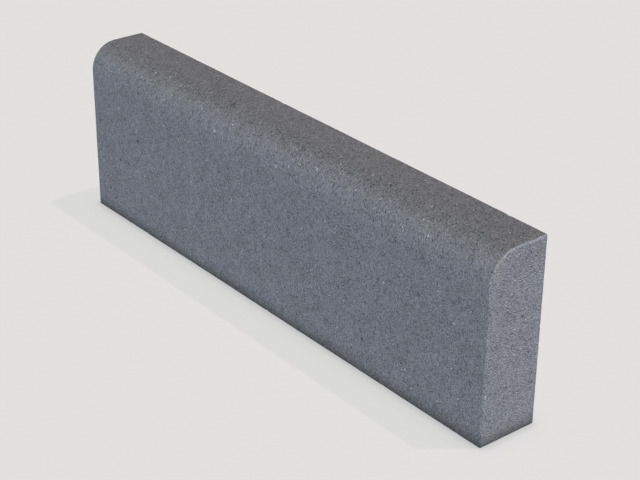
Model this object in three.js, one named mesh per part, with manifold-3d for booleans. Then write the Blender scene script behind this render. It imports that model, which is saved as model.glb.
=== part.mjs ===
// A concrete kerb stone, cast as one piece, with a bull nose between its road face and its top.
//
// Millimetres. +X runs along the kerb, -Y is the road side and +Z is up. The origin is the middle
// of the bed, the face that lies on the mortar.

import * as THREE from 'three';
import { mergeVertices, toCreasedNormals } from 'three/addons/utils/BufferGeometryUtils.js';
import Module from 'manifold-3d';

// Driving dimensions
const length = 1000; // from end face to end face
const width = 105; // from the road face to the back
const height = 305; // from the bed to the top
const noseRadius = 47; // the bull nose
const endArris = 3; // rounding of the edges round each end face
const longArris = 2; // rounding of the back edge and of the two edges of the bed

// How finely the curves are divided
const quarterTurnSteps = 20; // along each rounded corner of the section
const arrisSteps = 5; // across the rounding of the end edges

// Concrete: a cool mid grey with a matt, sandy face
const concreteColour = new THREE.Color( 0.165, 0.172, 0.185 );
const concreteRoughness = 0.85;

const quarterTurn = Math.PI / 2;

const wasm = await Module();
wasm.setup();

// The upright section of the kerb, seen from its +X end: x is across, towards the back, and y is up.
// It runs anticlockwise through its four corners, and each is an arc of its own radius. The nose is
// one of them, and the other three share one radius. A radius of 0 leaves a sharp corner.
function kerbSection( cornerRadius ) {

	const corners = [
		{ side: 1, top: false, radius: cornerRadius }, // back edge of the bed
		{ side: 1, top: true, radius: cornerRadius }, // back edge of the top
		{ side: - 1, top: true, radius: noseRadius }, // bull nose
		{ side: - 1, top: false, radius: cornerRadius } // road edge of the bed
	];
	const outline = new THREE.Shape();

	corners.forEach( ( { side, top, radius }, index ) => {

		const across = side * ( width / 2 - radius );
		const up = top ? height - radius : radius;
		const start = ( index - 1 ) * quarterTurn;
		outline.absarc( across, up, radius, start, start + quarterTurn, false );

	} );

	return outline;

}

// Carries a section along the kerb, centred on the origin, with its end edges rounded over.
function carriedAlong( section, span, rounding ) {

	const geometry = new THREE.ExtrudeGeometry( section, {
		depth: span - 2 * rounding,
		curveSegments: quarterTurnSteps / 2, // an arc gets two steps for each of these
		bevelEnabled: rounding > 0,
		bevelThickness: rounding,
		bevelSize: rounding,
		bevelOffset: - rounding,
		bevelSegments: arrisSteps
	} );
	geometry.translate( 0, 0, rounding - span / 2 );

	// The section's x, y and its normal become the kerb's Y, Z and X.
	const standing = new THREE.Matrix4().makeBasis(
		new THREE.Vector3( 0, 1, 0 ),
		new THREE.Vector3( 0, 0, 1 ),
		new THREE.Vector3( 1, 0, 0 )
	);
	return geometry.applyMatrix4( standing );

}

function solidFrom( geometry ) {

	geometry.deleteAttribute( 'normal' );
	geometry.deleteAttribute( 'uv' );
	const shell = mergeVertices( geometry );

	return new wasm.Manifold( new wasm.Mesh( {
		numProp: 3,
		vertProperties: shell.attributes.position.array,
		triVerts: Uint32Array.from( shell.index.array )
	} ) );

}

function geometryFrom( solid ) {

	const { vertProperties, triVerts } = solid.getMesh();
	const geometry = new THREE.BufferGeometry();
	geometry.setAttribute( 'position', new THREE.BufferAttribute( vertProperties, 3 ) );
	geometry.setIndex( new THREE.BufferAttribute( triVerts, 1 ) );
	return toCreasedNormals( geometry, quarterTurn / 3 );

}

// The stone is what two blocks of one section have in common: one has its end edges rounded, and
// the other, longer by an arris, has its long edges rounded.
function kerbStone() {

	const endsEased = solidFrom( carriedAlong( kerbSection( 0 ), length, endArris ) );
	const longEdgesEased = solidFrom( carriedAlong( kerbSection( longArris ), length + endArris, 0 ) );
	const concrete = new THREE.MeshStandardMaterial( {
		color: concreteColour,
		roughness: concreteRoughness,
		metalness: 0
	} );

	const stone = new THREE.Mesh( geometryFrom( endsEased.intersect( longEdgesEased ) ), concrete );
	stone.name = 'kerb_stone';
	return stone;

}

const group = new THREE.Group();
group.add( kerbStone() );

export default group;
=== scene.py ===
# %% [markdown]
# # A concrete kerb stone
#
# A kerb stone is the long block that edges a road. It stands on a bed of mortar, with its upright
# road face towards the traffic and its back against the paving. The edge that wheels and feet meet
# is rounded over into a bull nose. Such a stone is formed from concrete in a stiff mould, so its
# faces are true, but close to they are sandy, with small air holes and lightly rounded edges.
#
# This script takes the stone's size from its CAD model, makes a finely worked skin around it with
# numpy, and gives the skin a concrete finish made of shader nodes. Everything is in metres.

# %% Load the frame
import itertools
import math

import bpy
import numpy as np
from mathutils import Matrix, Vector


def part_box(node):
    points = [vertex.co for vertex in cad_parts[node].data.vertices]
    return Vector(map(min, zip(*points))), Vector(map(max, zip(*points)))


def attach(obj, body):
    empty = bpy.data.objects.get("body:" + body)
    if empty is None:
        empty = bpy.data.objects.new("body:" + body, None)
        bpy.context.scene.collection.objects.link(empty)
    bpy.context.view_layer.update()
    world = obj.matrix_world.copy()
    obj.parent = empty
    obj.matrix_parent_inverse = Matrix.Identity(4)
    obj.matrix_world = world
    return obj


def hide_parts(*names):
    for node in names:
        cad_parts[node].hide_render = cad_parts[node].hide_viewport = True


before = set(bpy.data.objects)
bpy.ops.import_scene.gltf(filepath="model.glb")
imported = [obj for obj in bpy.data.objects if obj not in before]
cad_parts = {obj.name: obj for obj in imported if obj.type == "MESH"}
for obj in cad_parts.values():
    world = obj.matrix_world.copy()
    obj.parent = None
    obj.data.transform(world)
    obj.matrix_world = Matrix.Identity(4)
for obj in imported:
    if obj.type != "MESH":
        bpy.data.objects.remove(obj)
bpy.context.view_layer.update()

MM = 0.001
stone_low, stone_high = (np.array(corner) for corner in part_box("kerb_stone"))
LENGTH, WIDTH, HEIGHT = stone_high - stone_low
print(f"kerb stone: {LENGTH / MM:.0f} long, {WIDTH / MM:.0f} wide, {HEIGHT / MM:.0f} high, in mm")

# %% [markdown]
# The roundings are part of the CAD model too, and can be read off its mesh. On the flat of the road
# face, the lowest point is where the small rounding of the bed's edge begins, the highest is where
# the bull nose begins, and the furthest along is where the rounding of the end face begins.

# %% Measure the roundings
cad_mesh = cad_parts["kerb_stone"].data
cad_points = np.empty(len(cad_mesh.vertices) * 3, np.float32)
cad_mesh.vertices.foreach_get("co", cad_points)
cad_points = cad_points.reshape(-1, 3).astype(float)
HAIR = 0.001 * MM
on_road_face = cad_points[cad_points[:, 1] < stone_low[1] + HAIR]

NOSE = stone_high[2] - on_road_face[:, 2].max()
LONG_ARRIS = on_road_face[:, 2].min() - stone_low[2]
END_ARRIS = stone_high[0] - on_road_face[:, 0].max()
print(f"nose {NOSE / MM:.1f}, long arris {LONG_ARRIS / MM:.1f}, end arris {END_ARRIS / MM:.1f}, in mm")

# %% [markdown]
# ## The camera
#
# The picture is taken with a long lens, from in front of the road face and to the right, looking
# down. Three directions place it: back points from the stone to the camera, right and up span the
# picture. The camera sits along back by its distance, and a little along right and up, which slides
# the stone off the middle of the picture.

# %% Place the camera
AZIMUTH, ELEVATION, ROLL = (math.radians(angle) for angle in (51.02, 27.21, -0.51))
DISTANCE, SLIDE_RIGHT, SLIDE_UP = 2.6536, 0.0479, 0.09735
LENS, SENSOR = 91.51, 36.0     # focal length, and width of the sensor, in mm

back = np.array([math.sin(AZIMUTH) * math.cos(ELEVATION),
                 -math.cos(AZIMUTH) * math.cos(ELEVATION),
                 math.sin(ELEVATION)])
level = np.array([math.cos(AZIMUTH), math.sin(AZIMUTH), 0.0])
upright = np.cross(back, level)
right = math.cos(ROLL) * level - math.sin(ROLL) * upright
up = math.sin(ROLL) * level + math.cos(ROLL) * upright

camera = bpy.data.objects.new("camera", bpy.data.cameras.new("camera"))
bpy.context.scene.collection.objects.link(camera)
camera.data.lens = LENS
camera.data.sensor_width = SENSOR
placed = np.eye(4)
placed[:3, :3] = np.column_stack([right, up, back])
placed[:3, 3] = DISTANCE * back + SLIDE_RIGHT * right + SLIDE_UP * up
camera.matrix_world = Matrix(placed.tolist())
bpy.context.scene.camera = camera
print("camera at", placed[:3, 3].round(3))

# %% [markdown]
# ## The section's outline
#
# Seen from its end, the stone is a tall rectangle whose four corners are quarter circles: a large
# one for the bull nose and three small ones. A profile like this could be drawn as a curve and
# extruded, but the skin needs to know, at any distance round the outline, both the place and the way
# the surface faces. So the outline is worked out as a table of distance, place and facing angle,
# dense enough to read between its rows.

# %% The outline
ARC_ROWS = 60
SHARPENING = 0.8    # how much of its radius a small corner loses by the end face
CRISPNESS = 0.35    # how much of its rounding an edge of the back or the bed keeps


def section_outline(inset=0.0):
    """Distance round the section, with y, z and the facing angle in degrees, anticlockwise.

    Corner k turns the facing from 90k - 90 to 90k degrees. At facing angle a the outline is the
    corner's centre plus its radius times (cos a, sin a), and between corners it runs straight.
    The first corner is repeated at the end, so that the outline can be read past its start.
    An inset moves the top and the road side inwards and takes that much off the nose's radius. The
    back and the bed, whose edges are crisper, move less, and the small corners sharpen.
    """
    small = CRISPNESS * LONG_ARRIS * (1 - SHARPENING * inset / END_ARRIS)
    crisp = CRISPNESS * inset
    low_y, high_y, low_z, high_z = inset - WIDTH / 2, WIDTH / 2 - crisp, crisp, HEIGHT - inset
    radius = np.repeat([small, small, NOSE - inset, small, small], ARC_ROWS)
    facing = (np.linspace(-90, 0, ARC_ROWS) + 90 * np.arange(5)[:, None]).ravel()
    turn = np.radians(facing)
    at_back = np.repeat([True, True, False, False, True], ARC_ROWS)
    at_top = np.repeat([False, True, True, False, False], ARC_ROWS)
    y = np.where(at_back, high_y - radius, low_y + radius) + radius * np.cos(turn)
    z = np.where(at_top, high_z - radius, low_z + radius) + radius * np.sin(turn)
    distance = np.concatenate([[0], np.cumsum(np.hypot(np.diff(y), np.diff(z)))])
    return distance, y, z, facing


OUTLINE = section_outline()


def on_outline(distance, inset=0.0):
    """The y, z and facing angle at each distance round the outline, moved inwards by an inset."""
    columns = section_outline(inset)[1:]
    return np.stack([np.interp(distance, OUTLINE[0], column) for column in columns], axis=-1)


# The outline's four sides are split where the facing is halfway round each corner.
quarters = np.interp([-45, 45, 135, 225, 315], OUTLINE[3], OUTLINE[0])
back_side, top_side, road_side, bed_side = np.diff(quarters)
print("sides, mm:", (np.diff(quarters) / MM).round(1))

# %% [markdown]
# ## Spacing
#
# The skin is a grid of four-sided faces. The flats need few of them, while the worn edges need many,
# so the steps are fine beside each edge and widen away from it. The bull nose has no edge, so the
# two sides that meet on it stay wide there. Opposite sides take the same number of steps, so that
# the end faces can be filled by a grid too.

# %% Steps that are fine beside the edges
FINE_STEP, WIDE_STEP, WIDENING = 1.3 * MM, 5.0 * MM, 0.22
SAMPLES = 4000      # places at which a side's wanted step is worked out


def graded_shares(length, edges=(True, True), faces=None):
    """Shares from 0 to 1 of a side, with the wanted step growing with the distance to its edges.

    The wanted step is the fine one plus WIDENING times the distance to the nearer edge, up to the
    wide one. The running sum of 1 / step counts the faces passed, and equal counts give the shares.
    """
    place = np.linspace(0, length, SAMPLES)
    to_edge = np.full(place.shape, np.inf)
    for is_edge, distance in zip(edges, (place, length - place)):
        if is_edge:
            to_edge = np.minimum(to_edge, distance)
    step = np.minimum(WIDE_STEP, FINE_STEP + WIDENING * to_edge)
    passed = np.concatenate([[0], np.cumsum(np.diff(place) / step[1:])])
    faces = faces or round(passed[-1])
    return np.interp(np.linspace(0, passed[-1], faces + 1), passed, place) / length


back_shares = graded_shares(back_side)
bed_shares = graded_shares(bed_side)
TALL, BROAD = len(back_shares) - 1, len(bed_shares) - 1
top_shares = graded_shares(top_side, (True, False), BROAD)
road_shares = graded_shares(road_side, (False, True), TALL)
print(TALL, "steps up the stone,", BROAD, "across it")

# %% [markdown]
# ## The skin as a pattern
#
# Like a dress, the skin is first a set of flat pattern pieces whose seams are sewn up afterwards.
# Each pattern point has a place on the stone, the direction that it faces and a place on the flat
# pattern. The main piece wraps the four long sides and turns over both end arrises. The other two
# are the end faces. Each piece is a grid whose first axis crossed with its second points outwards.
#
# The grains of the finish will lie on the flat pattern. They aren't equally long both ways: on the
# ends they lie flat, and round the nose they are drawn out. So the pattern isn't to scale: where it
# is drawn long, grains of one size come out short on the stone, and where it is drawn short, long.

# %% The long sides
ARRIS_STEPS = 5
LENGTH_DRAWN = 1.25        # how long a length of 1 along the stone is drawn on the flat pattern
NOSE_DRAWN = 0.62          # and a length of 1 round the nose
END_DRAWN = (2.0, 0.8)     # and a height and a width of 1 on an end face

ring = np.concatenate([start + length * shares[:-1] for start, length, shares in (
    (quarters[0], back_side, back_shares), (quarters[1], top_side, top_shares),
    (quarters[2], road_side, road_shares), (quarters[3], bed_side, bed_shares))] + [quarters[4:]])

middle = LENGTH - 2 * END_ARRIS
along = middle * (graded_shares(middle) - 0.5)
turn_over = np.linspace(0, math.pi / 2, ARRIS_STEPS + 1)[1:]
stations = np.concatenate([np.full(ARRIS_STEPS, along[0]), along, np.full(ARRIS_STEPS, along[-1])])
leans = np.concatenate([-turn_over[::-1], np.zeros(len(along)), turn_over])


def spread(*columns):
    """Stacks arrays that broadcast together, as the last axis of one array."""
    return np.stack(np.broadcast_arrays(*columns), axis=-1)


nose_start, nose_end = OUTLINE[0][[2 * ARC_ROWS, 3 * ARC_ROWS - 1]]

# The distance round the outline as drawn, in which what has been passed of the nose counts less.
drawn = ring - ring[0] - (1 - NOSE_DRAWN) * (np.clip(ring, nose_start, nose_end) - nose_start)


def long_sides():
    """Places, facings and flat places of the main piece, as grids of ring by station.

    A station leans by an angle that is 0 on the long sides and grows to a right angle at the ends.
    There the point moves along the stone by the arris radius times the lean's sine, and to the
    outline whose inset is the radius times 1 minus its cosine, which is a quarter circle.
    """
    insets = END_ARRIS * (1 - np.cos(leans))
    sections = np.stack([on_outline(ring, inset) for inset in insets], axis=1)
    y, z, facing = np.moveaxis(sections, -1, 0)
    places = spread(stations + END_ARRIS * np.sin(leans), y, z)
    out_y, out_z = np.cos(np.radians(facing)), np.sin(np.radians(facing))
    facings = spread(np.sin(leans), np.cos(leans) * out_y, np.cos(leans) * out_z)
    flat = spread(LENGTH_DRAWN * (stations + END_ARRIS * leans), drawn[:, None])
    return places, facings, flat


sides = long_sides()
print("long sides:", sides[0].shape[0], "by", sides[0].shape[1], "points")

# %% [markdown]
# An end face has curved edges, so its inside is filled by a blend of its four sides, known as a Coons
# patch: join the left and right sides by straight rows, join the bottom and top sides by straight
# columns, add the two and take away the plain blend of the four corners, which was counted twice.

# %% The end faces
SEAM_GAP = 4 * MM   # between the pieces on the flat pattern


def end_face(end):
    """Places, facings and flat places of one end face, for end -1 or +1."""
    rim = sides[0][:-1, -1 if end > 0 else 0, 1:]
    right_side = rim[:TALL + 1]
    top_edge = rim[TALL:TALL + BROAD + 1][::-1]
    left_side = rim[TALL + BROAD:2 * TALL + BROAD + 1][::-1]
    bottom = np.concatenate([rim[2 * TALL + BROAD:], rim[:1]])
    across = ((bed_shares + 1 - top_shares[::-1]) / 2)[:, None, None]
    upward = ((back_shares + 1 - road_shares[::-1]) / 2)[None, :, None]
    rows = (1 - across) * left_side[None] + across * right_side[None]
    columns = (1 - upward) * bottom[:, None] + upward * top_edge[:, None]
    corners = ((1 - across) * ((1 - upward) * bottom[0] + upward * top_edge[0])
               + across * ((1 - upward) * bottom[-1] + upward * top_edge[-1]))
    y, z = np.moveaxis(rows + columns - corners, -1, 0)
    places = spread(end * LENGTH / 2, y, z)
    facings = spread(float(end), 0 * y, 0 * z)
    flat = spread(end * (END_DRAWN[0] * z + SEAM_GAP), END_DRAWN[1] * (y - WIDTH / 2) - SEAM_GAP)
    if end > 0:
        return places, facings, flat
    return [np.swapaxes(grid, 0, 1) for grid in (places, facings, flat)]


grids = [sides, end_face(-1), end_face(1)]
print("end faces:", grids[1][0].shape[0], "by", grids[1][0].shape[1], "points")

# %% [markdown]
# ## Relief
#
# Moulded concrete is flat only from a distance. Displacing the grid by smooth noise gives it
# long, slow waves and the tooth of its sand. Noise textures exist as modifiers, but
# worked out here the relief can also be kept inwards, so that the stone never outgrows its size,
# and the edges can be treated apart.

# %% Smooth noise
LATTICE = 64


def soft_noise(points, size, seed):
    """Smooth random values from -1 to 1, about size apart from one high to the next.

    Random numbers sit on a cubic lattice of that spacing. A point blends the eight round it, each
    weighted by 3t^2 - 2t^3 of how far the point is across the cell towards it.
    """
    numbers = np.random.default_rng(seed).uniform(-1, 1, (LATTICE,) * 3)
    cell, across = np.divmod(points / size, 1)
    across = across * across * (3 - 2 * across)
    total = 0
    for corner in itertools.product((0, 1), repeat=3):
        weight = np.where(corner, across, 1 - across).prod(axis=-1)
        index = (cell.astype(int) + corner) % LATTICE
        total = total + weight * numbers[tuple(np.moveaxis(index, -1, 0))]
    return total


# %% [markdown]
# Worn edges come from how near a point is to an edge. A point close to one face only is out on a
# flat, and a point close to two faces at once is near an edge, so the larger of the two depths is
# its distance from that edge. The bull nose counts as one face with the top and the road face.

# %% Distance to the nearest edge
def edge_distance(places):
    """How far each place on the skin is from the nearest edge of the block."""
    x, y, z = np.moveaxis(places, -1, 0)
    from_nose = NOSE - np.hypot(y + WIDTH / 2 - NOSE, z - HEIGHT + NOSE)
    in_nose = (y < NOSE - WIDTH / 2) & (z > HEIGHT - NOSE)
    from_end = LENGTH / 2 - np.abs(x)
    from_front = np.where(in_nose, from_nose, np.minimum(y + WIDTH / 2, HEIGHT - z))
    from_back = WIDTH / 2 - y
    faces = np.stack([from_end, from_front, from_back, z])
    return np.sort(faces, axis=0)[1]


# %% [markdown]
# The relief has three parts: long waves, the short tooth of the sand, and wear that grows towards
# the edges and comes and goes along them. Each has its own depth and its own distance between highs.

# %% The shape of the relief
WAVES, WAVE_SIZE = 0.12 * MM, 70 * MM
TOOTH, TOOTH_SIZE = 0.08 * MM, 6 * MM
WEAR, WEAR_SIZE, WEAR_REACH = 0.35 * MM, 22 * MM, 6.0 * MM


def relief(places):
    """How deep the skin lies inside the true block: waves, tooth and worn edges, all at least 0.

    Waves and tooth are their depth times 1 plus noise. Wear is its depth, times the square of how
    near the edge is, times the square of noise that runs from 0 to 1.
    """
    waves = WAVES * (1 + soft_noise(places, WAVE_SIZE, 1))
    tooth = TOOTH * (1 + soft_noise(places, TOOTH_SIZE, 2))
    nearness = np.clip(1 - edge_distance(places) / WEAR_REACH, 0, 1)
    wear = WEAR * nearness ** 2 * (0.5 + 0.5 * soft_noise(places, WEAR_SIZE, 3)) ** 2
    return waves + tooth + wear


# %% [markdown]
# Small chips are missing from the edges. A chip is a shallow bite: inside its radius the skin
# sinks towards the chip's centre, and noise makes its outline ragged.

# %% Chips
CHIPS = 44
CHIP_SIZES = (0.8 * MM, 2.4 * MM)
CHIP_DEPTH = 0.45   # of the chip's radius
CHIP_RAGGEDNESS, RAG_SIZE = 0.35, 2.5 * MM
ON_EDGE = 1.2 * MM

draw = np.random.default_rng(4)
edge_places = sides[0].reshape(-1, 3)
edge_places = edge_places[edge_distance(edge_places) < ON_EDGE]
chip_centres = edge_places[draw.choice(len(edge_places), CHIPS, replace=False)]
chip_sizes = CHIP_SIZES[0] + np.ptp(CHIP_SIZES) * draw.uniform(0, 1, CHIPS) ** 3   # mostly small


def chip_depth(places):
    """How deep the chips bite at each place, and 0 away from them.

    With b running from 0 at a chip's rim to 1 at its centre, the bite is b times (2 - b), times the
    chip's depth. The distance to the centre is stretched by noise, which makes the rim ragged.
    """
    close = edge_distance(places) < 2 * CHIP_SIZES[1]
    ragged = 1 + CHIP_RAGGEDNESS * soft_noise(places[close], RAG_SIZE, 5)
    apart = np.linalg.norm(places[close][:, None] - chip_centres, axis=-1) * ragged[:, None]
    bite = np.clip(1 - apart / chip_sizes, 0, 1)
    depth = np.zeros(len(places))
    depth[close] = (CHIP_DEPTH * chip_sizes * bite * (2 - bite)).max(axis=1)
    return depth


print(CHIPS, "chips, the largest", (chip_sizes.max() / MM).round(1), "mm in radius")

# %% [markdown]
# The upper edge of the end faces gets a painted highlight, a pale line where the light glances off
# the rounded edge. It lies in a narrow band round the top of the end, strongest where the edge
# faces up and gone where the nose faces the road.

# %% The painted highlight band
# The polish band is a painted highlight: a paler tone where light glances off the upper end edges.
BAND_DEPTH, BAND_WIDTH = 2.0 * MM, 1.0 * MM
HIGHLIGHT_POWER = 1.5


def highlight_band(places):
    """How strongly each place is painted with the highlight, from 0 to 1.

    With d the depth below the top and the nose, and u the share of the outward direction that
    points up, it is u^HIGHLIGHT_POWER times exp(-((d - BAND_DEPTH) / BAND_WIDTH)^2), within an arris
    of the ends.
    """
    x, y, z = np.moveaxis(places, -1, 0)
    height = z - HEIGHT + NOSE
    reach = np.hypot(np.minimum(y + WIDTH / 2 - NOSE, 0), height)
    upwards = np.clip(height / reach, 0, 1)
    band = np.exp(-((NOSE - reach - BAND_DEPTH) / BAND_WIDTH) ** 2)
    return upwards ** HIGHLIGHT_POWER * band * (np.abs(x) > LENGTH / 2 - END_ARRIS)


# %% [markdown]
# Now each pattern piece is pushed inwards, against the way it faces, by its relief and its chips. It
# keeps its true places too, because the seams and the painted highlight are found from them.

# %% Shape the pattern pieces
class Piece:
    """One pattern piece: its grid of point numbers, and what each of its points is."""

    def __init__(self, places, facings, flat, first):
        self.shape = places.shape[:2]
        self.numbers = first + np.arange(places[..., 0].size).reshape(self.shape)
        self.true_places = places.reshape(-1, 3)
        self.flat = flat.reshape(-1, 2)
        self.facings = facings.reshape(-1, 3)
        depth = relief(self.true_places) + chip_depth(self.true_places)
        self.places = self.true_places - depth[:, None] * self.facings
        self.kept = np.ones((self.shape[0] - 1, self.shape[1] - 1), bool)


pieces = []
for places, facings, flat in grids:
    pieces.append(Piece(places, facings, flat, sum(len(p.flat) for p in pieces)))
sunk = [np.linalg.norm(p.true_places - p.places, axis=1).max() for p in pieces]
print("deepest relief of each piece, mm:", (np.array(sunk) / MM).round(2))

# %% [markdown]
# ## Air holes
#
# Air that is trapped against the mould leaves small round holes in the face. The grid is too coarse
# to be pushed into such a shape, so a hole is let into it: a block of faces is taken out, and rings
# of points lead from the block's border down to the bottom of the hole. Small holes take one face
# and large ones take a block of two by two.

# %% The faces of a hole
HOLE_RINGS = np.array([(1.0, 0.0), (0.84, 0.42), (0.52, 0.88)])   # shares of radius and depth


def block_border(span):
    """Grid steps from a block's first corner to each point round it, anticlockwise."""
    go, far, near = np.arange(span), np.full(span, span), np.zeros(span, int)
    return np.concatenate([go, far, span - go, near]), np.concatenate([near, go, far, span - go])


def hole_faces(border, first, span):
    """The triangles and quads of the holes, from their border points and their own first points.

    With 4 border points for each step of span and twice as many on each ring, a border point leads
    to every second point of the first ring. The last ring closes on the bottom point.
    """
    around = 8 * span
    ring_points = first[:, None, None] + np.arange(len(HOLE_RINGS) * around).reshape(-1, around)
    bottom = first + len(HOLE_RINGS) * around
    rim, after = ring_points[:, 0], np.roll(ring_points, -1, axis=2)
    even, odd = rim[:, 0::2], rim[:, 1::2]
    next_border, next_even = np.roll(border, -1, axis=1), np.roll(even, -1, axis=1)
    last, last_after = ring_points[:, -1], after[:, -1]
    triangles = [spread(border, odd, even), spread(border, next_border, odd),
                 spread(next_border, next_even, odd),
                 spread(last, last_after, bottom[:, None])]
    quads = spread(ring_points[:, :-1], after[:, :-1], after[:, 1:], ring_points[:, 1:])
    return np.concatenate([t.reshape(-1, 3) for t in triangles]), quads.reshape(-1, 4)


# %% [markdown]
# A bubble is seldom quite round, so each hole gets its own egg shape, place and depth. All holes of
# one size are worked out together, as arrays with one row for each hole.

# %% Cut holes of one size
# The rings and the bottom of a hole are painted with shade, darker further in.
HOLE_SHADES = np.array([0.3, 0.9, 1.0, 1.0])   # how dark the rings and the bottom are
HOLE_DEPTHS = (0.45, 0.9)   # least and greatest depth, as shares of the radius
EGGS = (0.05, 0.3)          # how far from round, at least and at most
LUMPS = 0.1                 # height of three lumps round the rim, as a share of the radius
WIDEST = 0.34               # radius, as a share of the block's shorter side
ROOM = 1.42                 # from a hole's centre to the block's sides, in radii
TURN_BACK = 0.375           # of a full turn, from the a axis back to the block's first corner


def cut_holes(piece, starts, span, radius, first, draw):
    """Cuts a hole in the block that begins at each of starts.

    Returns the holes' points, their painted shade, their triangles, their quads and their radii.
    A block is read as a flat sheet with shares a and b across it. A ring point is the hole's centre
    plus the ring's share of the radius at its turn, wobbled into an egg, and then sunk.
    """
    i, j = starts.T
    across, upward = block_border(span)
    border = piece.numbers[i[:, None] + across, j[:, None] + upward]
    for down in range(span):
        for over in range(span):
            piece.kept[i + down, j + over] = False

    everything = np.concatenate([piece.places, piece.flat], axis=1).reshape(*piece.shape, 5)
    corners = [everything[i + a * span, j + b * span][:, None, None] for a, b in
               ((0, 0), (1, 0), (1, 1), (0, 1))]
    size_a = np.linalg.norm((corners[1] - corners[0])[..., :3], axis=-1)
    size_b = np.linalg.norm((corners[3] - corners[0])[..., :3], axis=-1)

    turn = 2 * math.pi * (np.arange(8 * span) / (8 * span) - TURN_BACK)
    egg, tilt, phase = (draw.uniform(low, high, (len(i), 1, 1)) for low, high in
                        (EGGS, (0, math.pi), (0, 2 * math.pi)))
    wobble = 1 + egg * np.cos(2 * (turn - tilt)) + LUMPS * np.cos(3 * turn + phase)
    radius = np.minimum(radius[:, None, None], WIDEST * np.minimum(size_a, size_b))
    room_a, room_b = ROOM * radius / size_a, ROOM * radius / size_b
    centre_a = room_a + (1 - 2 * room_a) * draw.uniform(0, 1, room_a.shape)
    centre_b = room_b + (1 - 2 * room_b) * draw.uniform(0, 1, room_b.shape)

    shares = HOLE_RINGS[None, :, :1]
    a = centre_a + shares * wobble * np.cos(turn) * radius / size_a
    b = centre_b + shares * wobble * np.sin(turn) * radius / size_b
    a = np.concatenate([a.reshape(len(i), -1), centre_a[:, 0]], axis=1)[..., None]
    b = np.concatenate([b.reshape(len(i), -1), centre_b[:, 0]], axis=1)[..., None]
    corners = [corner[:, 0] for corner in corners]
    points = ((1 - a) * (1 - b) * corners[0] + a * (1 - b) * corners[1]
              + a * b * corners[2] + (1 - a) * b * corners[3])

    inward = np.cross((corners[3] - corners[1])[..., :3], (corners[2] - corners[0])[..., :3])
    inward /= np.linalg.norm(inward, axis=-1, keepdims=True)
    sink = np.append(np.repeat(HOLE_RINGS[:, 1], 8 * span), 1.0)
    depth = radius[:, 0] * draw.uniform(*HOLE_DEPTHS, (len(i), 1))
    points[..., :3] += inward * (sink * depth)[..., None]
    dark = np.tile(np.repeat(HOLE_SHADES, [8 * span] * len(HOLE_RINGS) + [1]), (len(i), 1))

    numbers = first + np.arange(len(i)) * points.shape[1]
    faces = hole_faces(border, numbers, span)
    return points.reshape(-1, 5), dark.ravel(), *faces, radius.ravel()


# %% [markdown]
# Bubbles gather anywhere on a face, so the blocks to cut are drawn by lot. The large holes go first,
# and the small ones take from what is still whole. The narrow faces beside the edges have no room.

# %% Choose where the holes go
#           span, share of the blocks, smallest and largest radius
HOLES = ((2, 0.004, 1.5 * MM, 2.4 * MM),
         (1, 0.030, 0.4 * MM, 1.2 * MM))
WIDE_ENOUGH = 0.8 * WIDE_STEP


def free_blocks(piece, span):
    """The first corners of all blocks of span by span wide faces that are still whole."""
    grid = piece.places.reshape(*piece.shape, 3)
    down = np.linalg.norm(grid[1:, :-1] - grid[:-1, :-1], axis=-1)
    over = np.linalg.norm(grid[:-1, 1:] - grid[:-1, :-1], axis=-1)
    free = piece.kept & (np.minimum(down, over) > WIDE_ENOUGH)
    rows, columns = (size // span for size in free.shape)
    blocks = free[:rows * span, :columns * span].reshape(rows, span, columns, span)
    return np.argwhere(blocks.all(axis=(1, 3))) * span


draw = np.random.default_rng(6)
whole = sum(len(p.flat) for p in pieces)
hole_points, hole_shades, triangles, hole_quads, hole_radii = stores = [], [], [], [], []
for piece in pieces:
    for span, share, smallest, largest in HOLES:
        blocks = free_blocks(piece, span)
        starts = blocks[draw.choice(len(blocks), round(share * len(blocks)), replace=False)]
        radius = smallest + (largest - smallest) * draw.uniform(0, 1, len(starts)) ** 2
        first = whole + sum(len(p) for p in hole_points)
        made = cut_holes(piece, starts, span, radius, first, draw)
        for store, part in zip(stores, made):
            store.append(part)
hole_radii = np.concatenate(hole_radii) / MM
print(len(hole_radii), "holes, radii", hole_radii.min().round(2), "to", hole_radii.max().round(2),
      "mm, half of them under", np.median(hole_radii).round(2), "mm")

# %% [markdown]
# ## Sewing the skin
#
# The pattern pieces meet where their undisplaced points coincide, so points at one place become one
# vertex. The flat pattern is kept twice, on the faces' corners, so that it may jump at a seam. Its
# size in metres is the attribute called pattern, on which the grains of the finish lie. Fitted into
# a square, it is the mesh's UV map, named OFBake. Two values stay on the vertices for the finish to
# read: how deep the painted shade in a hole is, and how strong the painted highlight on an edge is.

# %% Sew it up
pattern = np.concatenate([p.places for p in pieces])
true_pattern = np.concatenate([p.true_places for p in pieces])
_, kept_points, sewn = np.unique(np.round(true_pattern / HAIR).astype(np.int64), axis=0,
                                 return_index=True, return_inverse=True)
hole_points = np.concatenate(hole_points)
vertex_of = np.concatenate([sewn.ravel(), len(kept_points) + np.arange(len(hole_points))])
vertices = np.concatenate([pattern[kept_points], hole_points[:, :3]])

grid_quads = np.concatenate([spread(p.numbers[:-1, :-1], p.numbers[1:, :-1], p.numbers[1:, 1:],
                                    p.numbers[:-1, 1:])[p.kept] for p in pieces])
quads = np.concatenate([grid_quads] + hole_quads)
triangles = np.concatenate(triangles)

skin = bpy.data.meshes.new("kerb_stone_skin")
skin.from_pydata(vertices.tolist(), [], vertex_of[quads].tolist() + vertex_of[triangles].tolist())
skin.shade_smooth()

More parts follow.
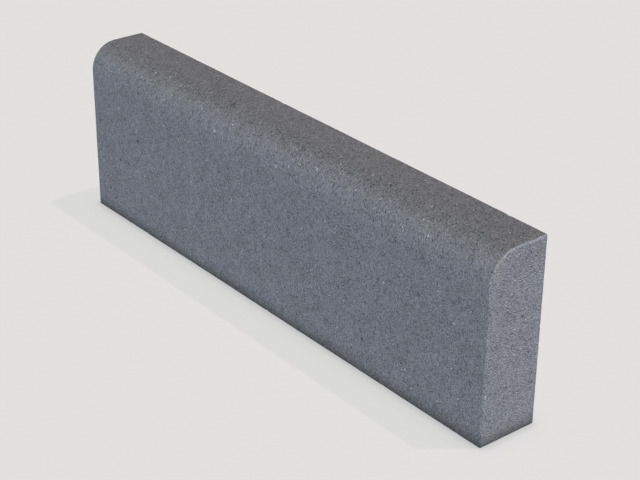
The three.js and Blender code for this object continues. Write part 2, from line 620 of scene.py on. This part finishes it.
corners = np.concatenate([quads.ravel(), triangles.ravel()])
flat = np.concatenate([p.flat for p in pieces] + [hole_points[:, 3:]])
shares = (flat - flat.min(axis=0)) / np.ptp(flat, axis=0)
skin.uv_layers.new(name="OFBake").data.foreach_set("uv", shares[corners].ravel())
on_pattern = spread(flat[:, 0], flat[:, 1], 0.0)[corners].astype(np.float32)
in_metres = skin.attributes.new("pattern", "FLOAT_VECTOR", "CORNER")
in_metres.data.foreach_set("vector", on_pattern.ravel())

# The polished values place a painted highlight along the upper end edges.
painted_highlight = np.concatenate([highlight_band(true_pattern[kept_points]), np.zeros(len(hole_points))])
# The hole values are how deep the painted shade in each hole is.
dark = np.concatenate([np.zeros(len(kept_points))] + hole_shades)
for name, values in (("hole", dark), ("painted_highlight", painted_highlight)):
    skin.attributes.new(name, "FLOAT", "POINT").data.foreach_set("value", values)

stone = bpy.data.objects.new("kerb_stone_skin", skin)
bpy.context.scene.collection.objects.link(stone)
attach(stone, "root")
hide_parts("kerb_stone")
changed = skin.validate(verbose=True)
print(len(skin.vertices), "vertices,", 2 * len(quads) + len(triangles), "triangles,",
      "mended" if changed else "sound")

# %% [markdown]
# ## Building with nodes
#
# A material is a tree of nodes, and writing one in Python takes two kinds of line: making a node,
# and wiring its inputs. The helpers below do both at once. An input that is given another node's
# output is linked to it, and any other value is simply set.

# %% Node helpers
def feed(tree, node, inputs):
    """Links each of a node's inputs to the output that it is given, or sets it to the value."""
    for key, value in inputs.items():
        if isinstance(value, bpy.types.NodeSocket):
            tree.links.new(value, node.inputs[key])
        else:
            node.inputs[key].default_value = value


def add_node(tree, kind, inputs=None, **settings):
    """A new shader node with its settings made, and its inputs linked or set."""
    node = tree.nodes.new("ShaderNode" + kind)
    for name, value in settings.items():
        setattr(node, name, value)
    feed(tree, node, inputs or {})
    return node


def calculate(tree, operation, *values, clamp=False):
    """The output of a Math node on the values."""
    node = add_node(tree, "Math", dict(enumerate(values)), operation=operation, use_clamp=clamp)
    return node.outputs[0]


def ramp(tree, value, start, end):
    """A smooth step of a value, from 0 at start to 1 at end."""
    node = add_node(tree, "MapRange", {"Value": value, "From Min": start, "From Max": end},
                    interpolation_type="SMOOTHSTEP")
    return node.outputs["Result"]


def new_material(name):
    """A material with an empty node tree."""
    material = bpy.data.materials.new(name)
    material.use_nodes = True
    material.node_tree.nodes.clear()
    return material


# %% [markdown]
# A node group is a small tree with named inputs and outputs, which any material can place like one
# node. These two helpers make one and place one.

# %% Group helpers
SOCKETS = {"value": "NodeSocketFloat", "vector": "NodeSocketVector", "colour": "NodeSocketColor"}


def new_group(name, inputs, outputs):
    """An empty node group with named inputs and outputs, and its input and output nodes."""
    group = bpy.data.node_groups.new(name, "ShaderNodeTree")
    for label, kind in inputs.items():
        group.interface.new_socket(label, in_out="INPUT", socket_type=SOCKETS[kind])
    for label, kind in outputs.items():
        group.interface.new_socket(label, in_out="OUTPUT", socket_type=SOCKETS[kind])
    return group, group.nodes.new("NodeGroupInput").outputs, group.nodes.new("NodeGroupOutput").inputs


def use_group(tree, group, **inputs):
    """The outputs of a group placed in a tree, with its inputs linked or set."""
    node = tree.nodes.new("ShaderNodeGroup")
    node.node_tree = group
    feed(tree, node, inputs)
    return node.outputs


# %% [markdown]
# ## Patterns in concrete
#
# Concrete is sand and stone dust held by cement. From a step away it shows three things: cloudy
# changes of tone where the cement is richer or drier, a fine salt and pepper of sand, and single
# grains or pinholes that stand out. Two node groups make all of them. The first, clouds, is a noise
# texture, brought to lie evenly round 0.

# %% Clouds
CLOUD_SPREAD = 3.2   # brings the noise texture's usual range to about -1 to 1
CLOUD_ROUGHNESS = 0.6

clouds, given, result = new_group("clouds", {"Place": "vector", "Size": "value", "Detail": "value"},
                                  {"Tone": "value"})
scale = calculate(clouds, "DIVIDE", 1.0, given["Size"])
noise = add_node(clouds, "TexNoise", {"Vector": given["Place"], "Scale": scale,
                                      "Detail": given["Detail"], "Roughness": CLOUD_ROUGHNESS})
tone = calculate(clouds, "MULTIPLY_ADD", noise.outputs[0], CLOUD_SPREAD, -0.5 * CLOUD_SPREAD)
clouds.links.new(tone, result["Tone"])
print("clouds:", len(clouds.nodes), "nodes")

# %% [markdown]
# The second group, grains, is the cells of a Voronoi texture. Each cell has a random colour, and its
# three parts serve as three random numbers: red says whether the grain shows at all, green how far
# it reaches from its centre, and blue how bright it is, from -1 to 1. The power of 3 keeps the sign
# and leaves most grains near the middle tone, with a few bright or dark ones.

# %% Grains
SMALLEST_REACH, MORE_REACH = 0.3, 0.25   # of the cell's size
GRAIN_EDGE = 0.22                        # over which a grain fades out, also of the cell's size
SHADE_POWER = 3.0

grains, given, result = new_group(
    "grains", {"Place": "vector", "Size": "value", "Share": "value"},
    {"Mask": "value", "Shade": "value"})
scale = calculate(grains, "DIVIDE", 1.0, given["Size"])
cells = add_node(grains, "TexVoronoi", {"Vector": given["Place"], "Scale": scale})
chance = add_node(grains, "SeparateColor", {"Color": cells.outputs["Color"]})
shows = calculate(grains, "LESS_THAN", chance.outputs["Red"], given["Share"])
reach = calculate(grains, "MULTIPLY_ADD", chance.outputs["Green"], MORE_REACH, SMALLEST_REACH)
depth = calculate(grains, "SUBTRACT", reach, cells.outputs["Distance"])
inside = ramp(grains, depth, 0.0, GRAIN_EDGE)
grains.links.new(calculate(grains, "MULTIPLY", inside, shows), result["Mask"])
shade = calculate(grains, "MULTIPLY_ADD", chance.outputs["Blue"], 2.0, -1.0)
grains.links.new(calculate(grains, "POWER", shade, SHADE_POWER), result["Shade"])
print("grains:", len(grains.nodes), "nodes")

# %% [markdown]
# ## The concrete
#
# The finish isn't the same all over. The ends are sandier than the long sides. On the side of the
# road the nose is smoother, and a pale sheen is painted onto it there. A band further up it has
# more light grains, and warmer light is painted onto it. These places are found from Object
# coordinates, which here are metres from the middle of the bed, as masks that run smoothly from 0 to
# 1.

# %% Where the finish changes
# The sandy nose band has more light grains, and warmer light is painted onto it.
SANDY_WARM_LIT_NOSE = (0.6, 0.35, 0.8, 0.6)     # the shares that on_nose takes
# The worn nose mask makes the nose smoother and paints a pale sheen on it.
SMOOTH_SHEEN_NOSE = (1.3, 0.6, 0.57, 0.2)
END_SANDINESS = 0.35    # more than elsewhere
NOSE_SMOOTHNESS = 0.17  # how much less sandy the worn nose is

concrete = new_material("concrete")
tree = concrete.node_tree
place = add_node(tree, "TexCoord").outputs["Object"]
x, y, z = add_node(tree, "SeparateXYZ", {0: place}).outputs


def on_nose(lowest, low, inmost, inner):
    """1 on a band of the nose, by shares of its radius below the top and behind the road face.

    The mask grows from 0 to 1 between the lowest and the low share, and between the inmost and the
    inner share.
    """
    risen = ramp(tree, z, HEIGHT - lowest * NOSE, HEIGHT - low * NOSE)
    forward = ramp(tree, y, inmost * NOSE - WIDTH / 2, inner * NOSE - WIDTH / 2)
    return calculate(tree, "MULTIPLY", risen, forward)


sandy_warm_lit_nose, smooth_sheen_nose = on_nose(*SANDY_WARM_LIT_NOSE), on_nose(*SMOOTH_SHEEN_NOSE)
ends = ramp(tree, calculate(tree, "ABSOLUTE", x), LENGTH / 2 - END_ARRIS, LENGTH / 2)
sandiness = calculate(tree, "MULTIPLY_ADD", ends, END_SANDINESS, 1.0)
sandiness = calculate(tree, "MULTIPLY_ADD", smooth_sheen_nose, -NOSE_SMOOTHNESS, sandiness)
print("sandiness runs from", 1 - NOSE_SMOOTHNESS, "to", 1 + END_SANDINESS)

# %% [markdown]
# Next come the patterns, from the finest up: fine grains and single light or dark ones on the flat
# pattern, and sand and clouds of three sizes on Object coordinates. On the ends each fine grain
# shades the place under it. For that the fine grains are made once more from a place a step higher
# up, and taken away from the first ones. On the flat pattern the two ends have their tops on
# opposite sides, so the step up takes the sign of x.

# %% Grains, sand and clouds
FINE = dict(size=1.25 * MM, tone=0.8)
SAND = dict(size=2.0 * MM, detail=2.0, tone=0.08)
CLOUD = dict(size=12 * MM, detail=2.0, tone=0.15)
DRIFT = dict(size=45 * MM, detail=3.0, tone=0.07)
LIGHT = dict(size=3.5 * MM, share=0.024, tone=1.1)
DARK = dict(size=2.4 * MM, share=0.05, tone=0.85)
SHADE, SHADE_STEP = 0.2, 1.6 * MM   # how strongly a grain of an end shades, and how far below it
NOSE_LIGHTS = 0.4                   # how many more light grains the sandy nose has


def all_grains(where):
    """The shades of fine grains that lie close together all over."""
    return use_group(tree, grains, Place=where, Size=FINE["size"], Share=1.0)["Shade"]


def cloud_tone(kind):
    """The tone of clouds of one kind."""
    return use_group(tree, clouds, Place=place, Size=kind["size"], Detail=kind["detail"])["Tone"]


pattern = add_node(tree, "Attribute", attribute_name="pattern").outputs["Vector"]
upward = calculate(tree, "MULTIPLY", calculate(tree, "SIGN", x), END_DRAWN[0] * SHADE_STEP)
upward = add_node(tree, "CombineXYZ", {"X": upward}).outputs[0]
above = add_node(tree, "VectorMath", {0: pattern, 1: upward}).outputs[0]
fine_shade = calculate(tree, "MULTIPLY", ends, -SHADE)
fine = calculate(tree, "MULTIPLY_ADD", all_grains(above), fine_shade, all_grains(pattern))
sand, cloud, drift = cloud_tone(SAND), cloud_tone(CLOUD), cloud_tone(DRIFT)

light_share = calculate(tree, "MULTIPLY_ADD", sandy_warm_lit_nose, NOSE_LIGHTS * LIGHT["share"], LIGHT["share"])
light = use_group(tree, grains, Place=pattern, Size=LIGHT["size"], Share=light_share)
light = calculate(tree, "MULTIPLY_ADD", light["Shade"], light["Mask"], light["Mask"])
dark_share = calculate(tree, "MULTIPLY", sandiness, DARK["share"])
dark = use_group(tree, grains, Place=pattern, Size=DARK["size"], Share=dark_share)["Mask"]
print(len(tree.nodes), "nodes so far")

# %% [markdown]
# The tone is one number that says how bright the concrete is at a place. It starts at 1, and each
# pattern adds its part. Along the upper end edges a highlight is painted in, paler. The air holes
# are painted dark inside with shade, so there the whole tone is multiplied down.

# %% Tone
# Inside the air holes the tone is darkened by painted shade.
HOLE_SHADE_STRENGTH = 0.6
# The polish tone is a painted highlight, paler along the upper end edges.
HIGHLIGHT_TONE = 0.6

hole = add_node(tree, "Attribute", attribute_name="hole").outputs["Fac"]
painted_highlight = add_node(tree, "Attribute", attribute_name="painted_highlight").outputs["Fac"]

sand_tone = calculate(tree, "MULTIPLY", sand, SAND["tone"])
grit = calculate(tree, "MULTIPLY_ADD", fine, FINE["tone"], sand_tone)
tone = calculate(tree, "MULTIPLY_ADD", grit, sandiness, 1.0)
for part, strength in ((cloud, CLOUD["tone"]), (drift, DRIFT["tone"]), (light, LIGHT["tone"]),
                       (dark, -DARK["tone"]), (painted_highlight, HIGHLIGHT_TONE)):
    tone = calculate(tree, "MULTIPLY_ADD", part, strength, tone)
openness = calculate(tree, "MULTIPLY_ADD", hole, -HOLE_SHADE_STRENGTH, 1.0)
tone = calculate(tree, "MULTIPLY", tone, openness)
print("tone parts: fine", FINE["tone"], "sand", SAND["tone"], "clouds", CLOUD["tone"], DRIFT["tone"])

# %% [markdown]
# The colour is one cool grey times the tone. Three tints of painted light change it: a pale sheen
# on the smooth side of the nose, warmer light on the band further up it, and shade at the foot,
# where the stone meets the floor. That painted shade fades with the square of the height left to its
# ragged upper edge, which the clouds push up and down.

# %% Colour
CONCRETE = (0.165, 0.172, 0.185)
# The first tint paints a pale sheen on the smooth side of the nose.
NOSE_SHEEN_TINT = (0.17, 0.16, 0.13)     # the tints are added to 1, and then multiply the colour
# The second tint paints warmer light onto the band further up the nose.
NOSE_WARM_LIGHT_TINT = (0.0, -0.01, -0.04)
# The third tint darkens the foot: painted shade where the stone meets the floor.
FOOT_SHADE_TINT = (-0.64, -0.67, -0.70)
FOOT_SHADE_HEIGHT = 30 * MM
FOOT_SHADE_RAGGEDNESS = 4 * MM

# The painted shade at the foot ends at a ragged edge that the clouds move up and down.
foot_shade_edge = calculate(tree, "MULTIPLY_ADD", cloud, FOOT_SHADE_RAGGEDNESS, FOOT_SHADE_HEIGHT)
foot = calculate(tree, "SUBTRACT", 1.0, calculate(tree, "DIVIDE", z, foot_shade_edge), clamp=True)
foot = calculate(tree, "POWER", foot, 2.0)
# The tints added here are painted light: a sheen, warmer light and shade.
painted_light = (1, 1, 1)
for tint, mask in ((NOSE_SHEEN_TINT, smooth_sheen_nose), (NOSE_WARM_LIGHT_TINT, sandy_warm_lit_nose), (FOOT_SHADE_TINT, foot)):
    tint = add_node(tree, "VectorMath", {0: tint, "Scale": mask}, operation="SCALE").outputs[0]
    painted_light = add_node(tree, "VectorMath", {0: painted_light, 1: tint}, operation="ADD").outputs[0]
colour = add_node(tree, "VectorMath", {0: CONCRETE, 1: painted_light}, operation="MULTIPLY").outputs[0]
colour = add_node(tree, "VectorMath", {0: colour, "Scale": tone}, operation="SCALE").outputs[0]
print("at the very foot the colour is", (np.array(CONCRETE) * (1 + np.array(FOOT_SHADE_TINT))).round(3))

# %% [markdown]
# Sand is too fine for the skin's faces, so the smallest relief is a bump: bright grains stand up a
# little, and the single dark ones are pits. Dry concrete has hardly any shine.

# %% Surface
SAND_HEIGHT, FINE_HEIGHT, PIT_DEPTH = 0.6, 0.5, 1.6   # in units of the bump
BUMP = 0.15 * MM
ROUGHNESS, SAND_ROUGHNESS = 0.8, 0.05
SHINE = 0.08

fine_height = calculate(tree, "MULTIPLY", fine, FINE_HEIGHT)
height = calculate(tree, "MULTIPLY_ADD", sand, SAND_HEIGHT, fine_height)
height = calculate(tree, "MULTIPLY_ADD", dark, -PIT_DEPTH, height)
bump = add_node(tree, "Bump", {"Height": height, "Distance": BUMP, "Strength": 1.0}).outputs[0]
roughness = calculate(tree, "MULTIPLY_ADD", sand, SAND_ROUGHNESS, ROUGHNESS)
surface = add_node(tree, "BsdfPrincipled", {"Base Color": colour, "Roughness": roughness,
                                            "Specular IOR Level": SHINE, "Normal": bump})
add_node(tree, "OutputMaterial", {"Surface": surface.outputs[0]})
stone.data.materials.append(concrete)
print(len(tree.nodes), "nodes in the concrete")

# %% [markdown]
# ## The light
#
# Five sun lamps light the stone. The key stands high, a little behind it, and alone casts a shadow.
# Four broad lamps stand low around it: left and near light the road face, near and right light the
# end on the right, left also lights the other end, and back lights the back. Their colours tell the
# top from the sides: the key is warm, like sunshine, and most of the low lamps are cool, like the
# sky beside it. Directions are written towards the lamp, so that none has to be placed.

# %% Lamps
#         towards the lamp, strength, colour, spread in degrees, casts a shadow
LAMPS = {
    "key": ((0.196, 0.256, 0.946), 0.435, (1.166, 1.0, 0.809), 1.3, True),
    "left": ((-0.877, -0.447, 0.174), 0.312, (0.802, 1.0, 1.241), 30, False),
    "right": ((0.963, 0.170, 0.208), 0.249, (1.050, 1.0, 0.989), 30, False),
    "near": ((0.765, -0.620, 0.174), 0.650, (0.877, 1.0, 1.210), 30, False),
    "back": ((0.150, 0.984, 0.100), 0.500, (0.930, 1.0, 1.120), 30, False),
}
WORLD_LIGHT = 0.15


def add_sun(name, towards, strength, colour, spread, casts_shadow):
    """A sun lamp that shines from a direction. Strength 1 lights a white face that meets it to 1.

    Returns how brightly it lights a level white floor: strength times colour times the direction's
    upward share.
    """
    lamp = bpy.data.lights.new(name, "SUN")
    lamp.energy = math.pi * strength
    lamp.color = colour
    lamp.angle = math.radians(spread)
    lamp.use_shadow = casts_shadow
    sun = bpy.data.objects.new(name, lamp)
    sun.rotation_euler = Vector(towards).to_track_quat("Z", "Y").to_euler()
    bpy.context.scene.collection.objects.link(sun)
    return strength * np.array(colour) * towards[2]


floor_light = {name: add_sun(name, *settings) for name, settings in LAMPS.items()}
print("light on the floor:", sum(floor_light.values()).round(3))

# %% [markdown]
# ## The floor
#
# The stone stands on a plain pale floor. A floor that is pale for the camera could be lit until it is
# nearly white, but then the stone would be lit too strongly as well. So the camera is shown a floor
# that mostly glows by itself, at the wanted paleness, over a dark diffuse surface that takes the
# stone's shadow, while the stone is shown the light that a plain pale floor would send it.
#
# The dark surface is just grey enough for the key's shadow to take the wanted share of the paleness
# away. The glow is what the paleness still needs beside the light that the surface gives back. The
# bounce towards the stone is the paleness times all the light on the floor.

# %% How the floor's light adds up
PALE = np.array([0.760, 0.745, 0.738])
SHADOW_DEPTH = np.array([0.074, 0.060, 0.073])  # share of the paleness that the key's shadow takes

light_on_floor = sum(floor_light.values()) + WORLD_LIGHT
shade_colour = SHADOW_DEPTH * PALE / floor_light["key"]
glow_colour = PALE - shade_colour * light_on_floor
bounce_colour = PALE * light_on_floor
print("shade", shade_colour.round(3), "glow", glow_colour.round(3), "bounce", bounce_colour.round(3))

# %% [markdown]
# Where the stone meets the floor, hardly any light gets in, and the glow has to fade too. Ambient
# occlusion nodes measure how open a place is within a reach. A short and a longer reach give a dark
# line under the edge and a soft dimming round it.

# %% Floor
FLOOR_SIZE = 30.0
CONTACTS = ((14 * MM, 0.38), (40 * MM, 0.19))   # reach, and share of the glow taken where shut in
CONTACT_TINT = np.array([1.0, 0.91, 0.86])      # how much of that each colour loses
CONTACT_SAMPLES = 16


def seen_directly(tree):
    """1 for what the camera sees, straight or by a reflection or through glass, and 0 for bounces."""
    path = add_node(tree, "LightPath").outputs
    seen = calculate(tree, "MAXIMUM", path["Is Camera Ray"], path["Is Glossy Ray"])
    return calculate(tree, "MAXIMUM", seen, path["Is Transmission Ray"])


floor = bpy.data.objects.new("floor", bpy.data.meshes.new("floor"))
half = FLOOR_SIZE / 2
floor.data.from_pydata([(-half, -half, 0), (half, -half, 0), (half, half, 0), (-half, half, 0)],
                       [], [(0, 1, 2, 3)])
bpy.context.scene.collection.objects.link(floor)

paving = new_material("floor")
tree = paving.node_tree
taken = sum(share for _, share in CONTACTS)
for reach, share in CONTACTS:
    open_sky = add_node(tree, "AmbientOcclusion", {"Distance": reach}, samples=CONTACT_SAMPLES)
    taken = calculate(tree, "MULTIPLY_ADD", open_sky.outputs["AO"], -share, taken)
lost = add_node(tree, "VectorMath", {0: -CONTACT_TINT * glow_colour, "Scale": taken},
                operation="SCALE").outputs[0]
remaining = add_node(tree, "VectorMath", {0: glow_colour, 1: lost}, operation="ADD").outputs[0]
glow = add_node(tree, "Emission", {"Color": remaining}).outputs[0]
shade = add_node(tree, "BsdfDiffuse", {"Color": (*shade_colour, 1)}).outputs[0]
shown = add_node(tree, "AddShader", {0: shade, 1: glow}).outputs[0]
bounce = add_node(tree, "Emission", {"Color": (*bounce_colour, 1)}).outputs[0]
pick = add_node(tree, "MixShader", {0: seen_directly(tree), 1: bounce, 2: shown})
add_node(tree, "OutputMaterial", {"Surface": pick.outputs[0]})
floor.data.materials.append(paving)
print(len(tree.nodes), "nodes in the floor")

# %% [markdown]
# The world behind the floor works the same way: it shows the camera the floor's paleness, so that
# there is no horizon, and sends the stone only a weak, even white light.

# %% World
world = bpy.data.worlds.new("studio")
bpy.context.scene.world = world
world.use_nodes = True
tree = world.node_tree
tree.nodes.clear()
around = add_node(tree, "Background", {"Color": (1, 1, 1, 1), "Strength": WORLD_LIGHT})
backdrop = add_node(tree, "Background", {"Color": (*PALE, 1)})
pick = add_node(tree, "MixShader", {0: seen_directly(tree), 1: around.outputs[0],
                                    2: backdrop.outputs[0]})
add_node(tree, "OutputWorld", {"Surface": pick.outputs[0]})
bpy.context.scene.view_settings.view_transform = "Standard"
print("world light", WORLD_LIGHT, "and backdrop", PALE)
